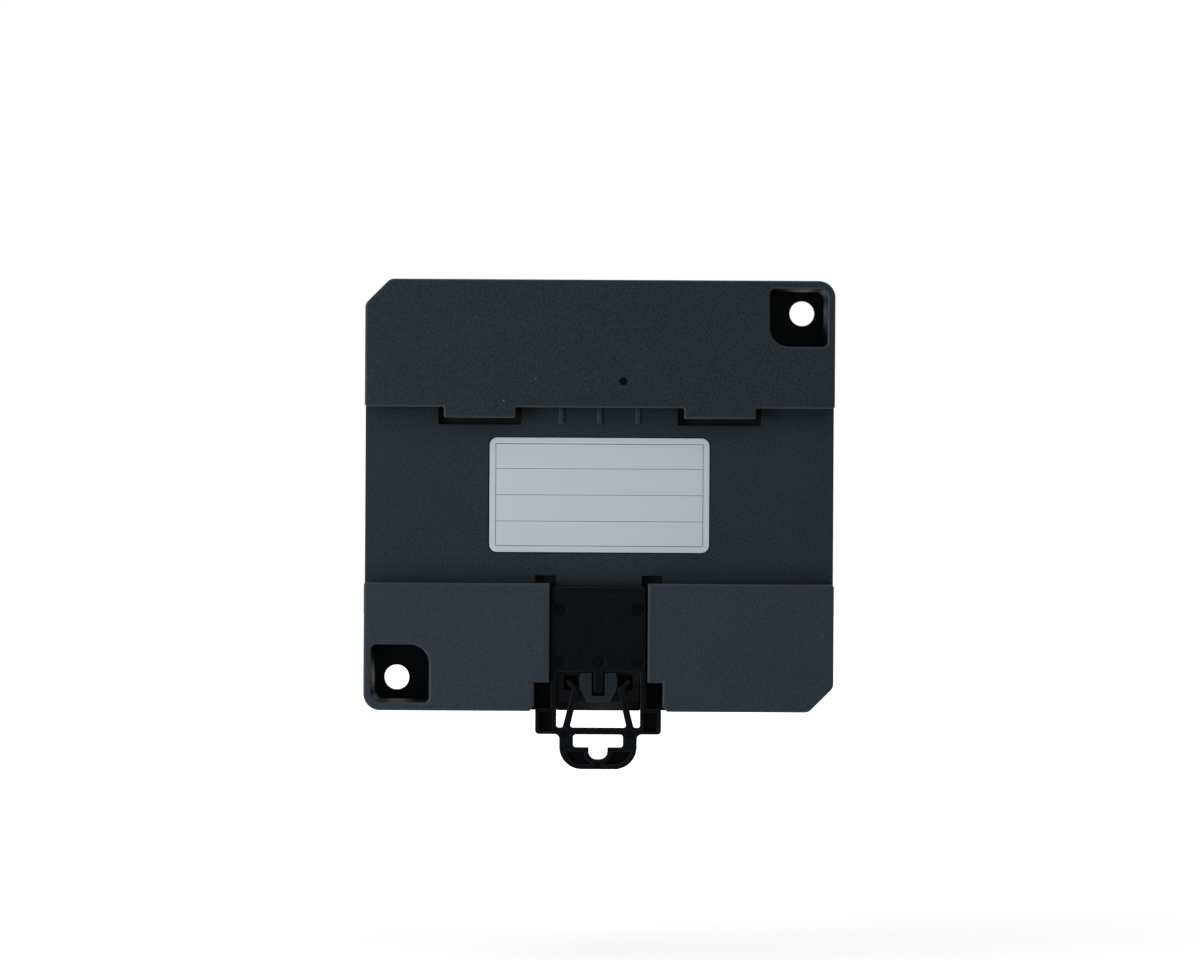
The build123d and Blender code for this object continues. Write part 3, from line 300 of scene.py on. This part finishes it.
def new_material(name):
    """Material with a shader on its output; gives the material, its tree and the shader's inputs."""
    material = bpy.data.materials.new(name)
    material.use_nodes = True
    tree = material.node_tree
    tree.nodes.clear()
    shader = shader_node(tree, "BsdfPrincipled", {})
    shader_node(tree, "OutputMaterial", {"Surface": shader.outputs[0]})
    return material, tree, shader.inputs


def wire(tree, shader, colour, rough, normal):
    tree.links.new(colour, shader["Base Color"])
    tree.links.new(rough, shader["Roughness"])
    tree.links.new(normal, shader["Normal"])


def plastic(name, colour, roughness=0.55, grain=2500.0, depth=0.000012, mottle=1.2,
            specular=0.15, edge_radius=0.0002, edge_highlight=0.05, shade_strength=0.5, dust=0.0, tone=None):
    """Moulded plastic with its grain, a painted highlight on its edges, painted shade in its
    recesses, and dust.
    """
    material, tree, shader = new_material(name)
    skin = use_group(tree, moulded_grain, {
        "Colour": colour, "Roughness": roughness, "Grain Scale": grain, "Grain Depth": depth,
        "Mottle": mottle, "Edge Radius": edge_radius,
    })
    shade = skin["Colour"]
    if tone:
        shade = tone(tree, shade)
    # Painted shade: the colour is darkened where ambient occlusion finds corners and recesses.
    deep = use_group(tree, recess_shade, {"Reach": shade_reach})["Mask"]
    shade = scale_colour(tree, shade, maths(tree, "MULTIPLY_ADD", deep, -shade_strength, 1.0))
    clear = maths(tree, "MULTIPLY_ADD", deep, -highlight_fade, 1.0)
    edge = maths(tree, "MULTIPLY", skin["Edge"], maths(tree, "MAXIMUM", clear, 0.0))
    # Painted highlight: edges are mixed toward a lighter colour, less so where the painted shade
    # lies.
    highlight_colour = tuple(min(1.0, value + edge_highlight) for value in colour[:3]) + (1.0,)
    shade = mix_colours(tree, edge, shade, highlight_colour)
    if dust:
        specks = use_group(tree, dust_specks, {"Scale": speck_scale, "Share": dust})["Mask"]
        shade = mix_colours(tree, specks, shade, dust_colour)
    wire(tree, shader, shade, skin["Roughness"], skin["Normal"])
    shader["Specular IOR Level"].default_value = specular
    return material


def case_tone(tree, shade):
    """Painted light on the lower pads, lighter ribs, and painted shade in the bay and the wells."""
    pad_share = 0.45
    axes = object_axes(tree)
    across = maths(tree, "ABSOLUTE", axes[0])
    upright = maths(tree, "ABSOLUTE", axes[2])
    low = maths(tree, "LESS_THAN", axes[2], pad_top)
    rear = maths(tree, "MULTIPLY", low, maths(tree, "GREATER_THAN", axes[1], pad_level))
    pads = maths(tree, "MULTIPLY", rear, maths(tree, "GREATER_THAN", across, bay_half))
    # Painted light: the lower pads are made lighter than the upper block.
    shade = tinted(tree, pads, shade, pad_light_tint)
    shade = mix_colours(tree, maths(tree, "MULTIPLY", pads, pad_share), shade, lit_pad_grey)
    # Painted shade in the bay between the pads.
    shade = tinted(tree, maths(tree, "SUBTRACT", rear, pads), shade, bay_shade_tint)
    seat = maths(tree, "LESS_THAN", upright, seat_half)
    ribs = maths(tree, "MULTIPLY", seat, band(tree, axes[1], rib_middle, rib_reach))
    shade = tinted(tree, ribs, shade, rib_tint)
    # Painted shade inside the screw wells.
    wells = maths(tree, "MULTIPLY", band(tree, across, well_middle_x, well_half_x),
                  band(tree, upright, well_middle_z, well_half_z))
    wells = maths(tree, "MULTIPLY", wells, band(tree, axes[1], well_middle_y, well_half_y))
    # The wells are in the corners where X and Z differ in sign, and the cut corners are not.
    diagonal = maths(tree, "LESS_THAN", maths(tree, "MULTIPLY", axes[0], axes[2]), 0.0)
    return tinted(tree, maths(tree, "MULTIPLY", wells, diagonal), shade, well_shade_tint)


def latch_tone(tree, shade):
    """Painted shade on the floors of the round marks that the ejector pins leave in the latch."""
    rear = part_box("din_latch")[1][1]
    # Painted shade: the floors of the marks are darkened.
    marks = band(tree, object_axes(tree)[1], rear - mark_depth, mark_reach)
    return tinted(tree, marks, shade, mark_shade_tint)


def metal(name, colour, roughness=0.35, stretch=(400.0, 4000.0, 400.0), depth=0.000006,
          edge_radius=0.00008):
    """Bare or plated metal with drawing lines, tarnish and rounded edges."""
    material, tree, shader = new_material(name)
    skin = use_group(tree, drawn_metal, {
        "Colour": colour, "Roughness": roughness, "Stretch": stretch, "Depth": depth,
        "Edge Radius": edge_radius,
    })
    wire(tree, shader, skin["Colour"], skin["Roughness"], skin["Normal"])
    shader["Metallic"].default_value = 1.0
    return material


def ruled_border(tree, x, z, half_x, half_z, thickness):
    """Ruled rectangle: the line where the larger of two edge distances is near zero."""
    side = maths(tree, "SUBTRACT", maths(tree, "ABSOLUTE", x), half_x)
    end = maths(tree, "SUBTRACT", maths(tree, "ABSOLUTE", z), half_z)
    return band(tree, maths(tree, "MAXIMUM", side, end), 0.0, thickness)


def ruled_ring(tree, x, z, middle, radius):
    """Ruled circle round a point on the X axis."""
    reach = shader_node(tree, "CombineXYZ", {0: maths(tree, "SUBTRACT", x, middle), 1: z})
    length = shader_node(tree, "VectorMath", {0: reach.outputs[0]}, operation="LENGTH")
    return band(tree, length.outputs["Value"], radius, ring_line)


def make_plate_film():
    """Satin silver film of the rating plate, with an empty ruled form."""
    ink_cover = 0.85
    film_metallic = 0.5
    ink_metallic_loss = 0.45
    material, tree, shader = new_material("satin silver film")
    skin = use_group(tree, moulded_grain, {
        "Colour": (0.331, 0.362, 0.389, 1.0), "Roughness": 0.58, "Grain Scale": 5200.0,
        "Grain Depth": 0.000006, "Mottle": 0.22, "Edge Radius": 0.00006,
    })
    x, z, half_x, half_z = centred_axes(tree, "rating_plate")
    form_half_x = half_x - form_margin
    lines = ruled_border(tree, x, z, form_half_x, half_z - form_margin, form_line)
    across = maths(tree, "LESS_THAN", maths(tree, "ABSOLUTE", x), form_half_x)
    for level in rule_levels:
        rule = maths(tree, "MULTIPLY", band(tree, z, level, rule_line), across)
        lines = maths(tree, "MAXIMUM", lines, rule)
    inked = maths(tree, "MULTIPLY", lines, ink_cover)
    shade = mix_colours(tree, inked, skin["Colour"], ink_colour)
    wire(tree, shader, shade, skin["Roughness"], skin["Normal"])
    shine = maths(tree, "MULTIPLY_ADD", lines, -ink_metallic_loss, film_metallic)
    tree.links.new(shine, shader["Metallic"])
    return material


def make_overlay_film():
    """Dark front film with a fine border, and a ring round the button and each light."""
    material, tree, shader = new_material("dark front film")
    skin = use_group(tree, moulded_grain, {
        "Colour": (0.012, 0.016, 0.020, 1.0), "Roughness": 0.38, "Grain Scale": 6000.0,
        "Grain Depth": 0.000004, "Mottle": 0.18, "Edge Radius": 0.00006,
    })
    x, z, half_x, half_z = centred_axes(tree, "front_overlay")
    lines = ruled_border(tree, x, z, half_x - front_margin, half_z - front_margin, front_line)
    low, high = (Vector(corner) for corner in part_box("setup_button"))
    button_radius = (high.x - low.x) / 2
    rings = [((low.x + high.x) / 2, button_radius + button_ring_gap)]
    low, high = (Vector(corner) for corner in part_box("light_pipes"))
    light_radius = (high.z - low.z) / 2
    pitch = (high.x - low.x) / 2 - light_radius
    for step in (-1, 0, 1):
        rings.append(((low.x + high.x) / 2 + step * pitch, light_radius + light_ring_gap))
    for middle, radius in rings:
        lines = maths(tree, "MAXIMUM", lines, ruled_ring(tree, x, z, middle, radius))
    shade = mix_colours(tree, lines, skin["Colour"], front_line_colour)
    wire(tree, shader, shade, skin["Roughness"], skin["Normal"])
    shader["Specular IOR Level"].default_value = 0.3
    return material


def make_solder_mask():
    """Green solder mask, lighter over the copper tracks."""
    track_scale = 330.0
    track_half = 0.16
    track_cover = 0.6
    material, tree, shader = new_material("green solder mask")
    skin = use_group(tree, moulded_grain, {
        "Colour": (0.012, 0.085, 0.035, 1.0), "Roughness": 0.3, "Grain Scale": 2500.0,
        "Grain Depth": 0.000006, "Mottle": 0.25, "Edge Radius": 0.00005,
    })
    inputs = {"Vector": object_place(tree), "Scale": track_scale}
    cells = shader_node(tree, "TexVoronoi", inputs, distance="MANHATTAN")
    parts = shader_node(tree, "SeparateColor", {0: cells.outputs["Color"]}).outputs
    tracks = maths(tree, "MULTIPLY", band(tree, parts[0], 0.5, track_half), track_cover)
    shade = mix_colours(tree, tracks, skin["Colour"], track_colour)
    wire(tree, shader, shade, skin["Roughness"], skin["Normal"])
    return material


def make_wound_wire(name, colour, turns, depth, metallic):
    """Close turns of wire or tape: ridges along the piece, with a little wander."""
    wander = 0.4
    groove_shade = 0.6
    ridge_shade = 0.5
    patch_scale = 800.0
    least_rough = 0.25
    gloss_spread = 0.2
    material, tree, shader = new_material(name)
    place = object_place(tree)
    waves = shader_node(tree, "TexWave", {"Vector": place, "Scale": turns, "Distortion": wander},
                        bands_direction="X").outputs[1]
    brightness = maths(tree, "MULTIPLY_ADD", waves, ridge_shade, groove_shade)
    patches = noise(tree, place, patch_scale)
    rough = maths(tree, "MULTIPLY_ADD", patches, gloss_spread, least_rough)
    bump = shader_node(tree, "Bump", {"Height": waves, "Distance": depth}).outputs[0]
    wire(tree, shader, scale_colour(tree, colour, brightness), rough, bump)
    shader["Metallic"].default_value = metallic
    return material


def make_clear_plastic(name, colour, frost):
    """Clear moulding with faint flow marks."""
    material, tree, shader = new_material(name)
    skin = use_group(tree, moulded_grain, {
        "Colour": colour, "Roughness": frost, "Grain Scale": 1500.0, "Grain Depth": 0.000003,
        "Mottle": 0.1, "Edge Radius": 0.0001,
    })
    wire(tree, shader, skin["Colour"], skin["Roughness"], skin["Normal"])
    shader["Transmission Weight"].default_value = 0.85
    shader["IOR"].default_value = 1.58
    return material


def dress(material, *names):
    """Give the named nodes of the frame their finish."""
    for name in names:
        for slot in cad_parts[name].material_slots:
            slot.material = material


def all_four(name):
    """Names of the four nodes of one kind."""
    return [f"{name}_{number}" for number in (1, 2, 3, 4)]


def dress_case():
    """Case, latch, films, button, light pipes and the plastic of the connectors."""
    dress(plastic("slate case plastic", slate, grain=3300.0, mottle=3.8, specular=0.1,
                  edge_highlight=0.032, shade_strength=0.85, dust=0.12, tone=case_tone),
          "rear_housing", "front_cover")
    dress(plastic("black latch nylon", nylon_black, roughness=0.5, depth=0.000008, mottle=3.8,
                  specular=0.03, edge_highlight=0.018, shade_strength=0.5, dust=0.1, tone=latch_tone),
          "din_latch")
    dress(make_plate_film(), "rating_plate")
    dress(make_overlay_film(), "front_overlay")
    dress(plastic("black insulating film", (0.004, 0.0045, 0.005, 1.0), roughness=0.6,
                  specular=0.08),
          "insulating_sheet")
    dress(plastic("grey button plastic", (0.16, 0.18, 0.19, 1.0), roughness=0.42, mottle=0.2,
                  specular=0.3),
          "setup_button")
    dress(make_clear_plastic("clear light pipe", (0.86, 0.90, 0.90, 1.0), 0.12), "light_pipes")
    dress(plastic("grey terminal plastic", (0.075, 0.085, 0.09, 1.0), roughness=0.5),
          "terminal_body")
    dress(plastic("socket plastic", (0.010, 0.011, 0.012, 1.0), roughness=0.45),
          *all_four("sensor_socket"), "link_base", "link_socket")


def dress_metal():
    """Screws, clamps, spacers, contacts, cans and the radio's shield."""
    dress(metal("zinc-plated screw steel", (0.52, 0.53, 0.55, 1.0)),
          "main_board_screws", "control_board_screws", "spacer_screws",
          *all_four("terminal_screw"))
    dress(metal("nickel-plated clamp brass", (0.58, 0.56, 0.50, 1.0), roughness=0.3),
          *all_four("terminal_clamp"))
    dress(metal("turned brass", (0.62, 0.45, 0.20, 1.0)), "board_spacers")
    dress(metal("tinned copper", (0.60, 0.60, 0.58, 1.0), roughness=0.3),
          "terminal_contacts", "sensor_socket_pins", "link_pins", "fuse_clips")
    dress(metal("drawn can aluminium", (0.66, 0.67, 0.68, 1.0), roughness=0.32),
          "bulk_capacitors", "reserve_capacitor")
    dress(metal("tinned shield steel", (0.55, 0.55, 0.54, 1.0), roughness=0.4), "radio_shield")


def dress_boards():
    """Boards, the components on them, and the switches with their plungers."""
    dress(make_solder_mask(), "main_board", "control_board", "radio_board")
    dress(make_wound_wire("white laminate antenna", (0.60, 0.62, 0.58, 1.0), turns=900.0,
                          depth=0.000004, metallic=0.0),
          "antenna_board")
    dress(plastic("chip epoxy", (0.012, 0.012, 0.013, 1.0), roughness=0.6, grain=3000.0),
          "bridge_rectifier", "metering_chip", "processor_chip")
    dress(plastic("resistor body", (0.02, 0.02, 0.022, 1.0), roughness=0.4), "burden_resistors")
    dress(plastic("fuse ceramic", (0.66, 0.64, 0.58, 1.0), roughness=0.35, mottle=0.1,
                  specular=0.4),
          "line_fuse")
    dress(plastic("blue varistor epoxy", (0.02, 0.10, 0.36, 1.0), roughness=0.3, mottle=0.2,
                  specular=0.4),
          "surge_varistors")
    dress(plastic("sintered ferrite", (0.030, 0.029, 0.029, 1.0), roughness=0.7, grain=2200.0,
                  depth=0.00003, mottle=0.6),
          "choke_core", "transformer_core")
    dress(make_wound_wire("enamelled copper wire", (0.52, 0.17, 0.06, 1.0), turns=1300.0,
                          depth=0.00012, metallic=0.7),
          "choke_windings")
    dress(make_wound_wire("yellow winding tape", (0.68, 0.48, 0.05, 1.0), turns=160.0,
                          depth=0.00004, metallic=0.0),
          "transformer_winding")
    dress(make_clear_plastic("milky lamp lens", (0.75, 0.86, 0.72, 1.0), 0.35), "status_leds")
    dress(plastic("switch body plastic", (0.016, 0.016, 0.017, 1.0), roughness=0.45),
          "setup_switch", "reset_switch")
    dress(plastic("switch plunger plastic", (0.55, 0.52, 0.44, 1.0), roughness=0.4, mottle=0.1),
          "setup_plunger", "reset_plunger")


def background_rays(tree):
    """1 for the rays that see the background itself."""
    rays = shader_node(tree, "LightPath", {}).outputs
    seen = maths(tree, "MAXIMUM", rays["Is Camera Ray"], rays["Is Glossy Ray"])
    return maths(tree, "MAXIMUM", seen, rays["Is Transmission Ray"])


def make_sky():
    """White surroundings for the eye, softer ones for the light on the object."""
    world = bpy.data.worlds.new("pale studio")
    bpy.context.scene.world = world
    world.use_nodes = True
    tree = world.node_tree
    tree.nodes.clear()
    seen = shader_node(tree, "Background", {"Color": white, "Strength": 1.0})
    soft = shader_node(tree, "Background", {"Color": white, "Strength": sky_level})
    mixed = shader_node(tree, "MixShader", {0: background_rays(tree), 1: soft.outputs[0],
                                            2: seen.outputs[0]})
    shader_node(tree, "OutputWorld", {"Surface": mixed.outputs[0]})


def make_floor():
    """Plain pale floor, white to the eye where no shadow lies on it."""
    mesh = bpy.data.meshes.new("floor")
    shape = bmesh.new()
    bmesh.ops.create_grid(shape, x_segments=1, y_segments=1, size=floor_half)
    bmesh.ops.translate(shape, vec=(0, 0, floor_level), verts=shape.verts)
    shape.to_mesh(mesh)
    shape.free()
    floor = bpy.data.objects.new("floor", mesh)
    bpy.context.scene.collection.objects.link(floor)
    material, tree, shader = new_material("pale floor")
    shader["Base Color"].default_value = floor_colour
    shader["Roughness"].default_value = 0.9
    shader["Specular IOR Level"].default_value = 0.0
    shader["Emission Color"].default_value = white
    away = shader_node(tree, "VectorMath", {0: object_place(tree)}, operation="LENGTH")
    level = shader_node(tree, "MapRange", {
        "Value": away.outputs["Value"], "From Min": floor_near_reach,
        "From Max": floor_far_reach, "To Min": floor_near_glow, "To Max": floor_far_glow,
    }, interpolation_type="SMOOTHSTEP").outputs[0]
    glow = maths(tree, "MULTIPLY", background_rays(tree), level)
    tree.links.new(glow, shader["Emission Strength"])
    mesh.materials.append(material)


def add_lamp(name, place, side, power):
    """Soft square lamp that faces the object."""
    light = bpy.data.lights.new(name, "AREA")
    light.shape = "SQUARE"
    light.size = side
    light.energy = power
    lamp = bpy.data.objects.new(name, light)
    lamp.location = place
    lamp.rotation_euler = (-Vector(place)).to_track_quat("-Z", "Y").to_euler()
    lamp.visible_camera = False
    bpy.context.scene.collection.objects.link(lamp)


def add_camera():
    """Camera of the photograph, looking at the rear of the case."""
    data = bpy.data.cameras.new("camera")
    data.sensor_width = sensor_width
    data.lens = pixels_per_metre * camera_distance / picture_width * sensor_width
    camera = bpy.data.objects.new("camera", data)
    place = Matrix.Translation((camera_x, rear_level + camera_distance, camera_z))
    turn = Matrix.Rotation(pi, 4, "Z") @ Matrix.Rotation(pi / 2, 4, "X")
    camera.matrix_world = place @ turn @ Matrix.Rotation(radians(camera_roll), 4, "Z")
    bpy.context.scene.collection.objects.link(camera)
    bpy.context.scene.camera = camera


dress_case()
dress_metal()
dress_boards()
make_sky()
make_floor()
for lamp_values in lamps:
    add_lamp(*lamp_values)
add_camera()
bpy.context.scene.view_settings.view_transform = "Standard"
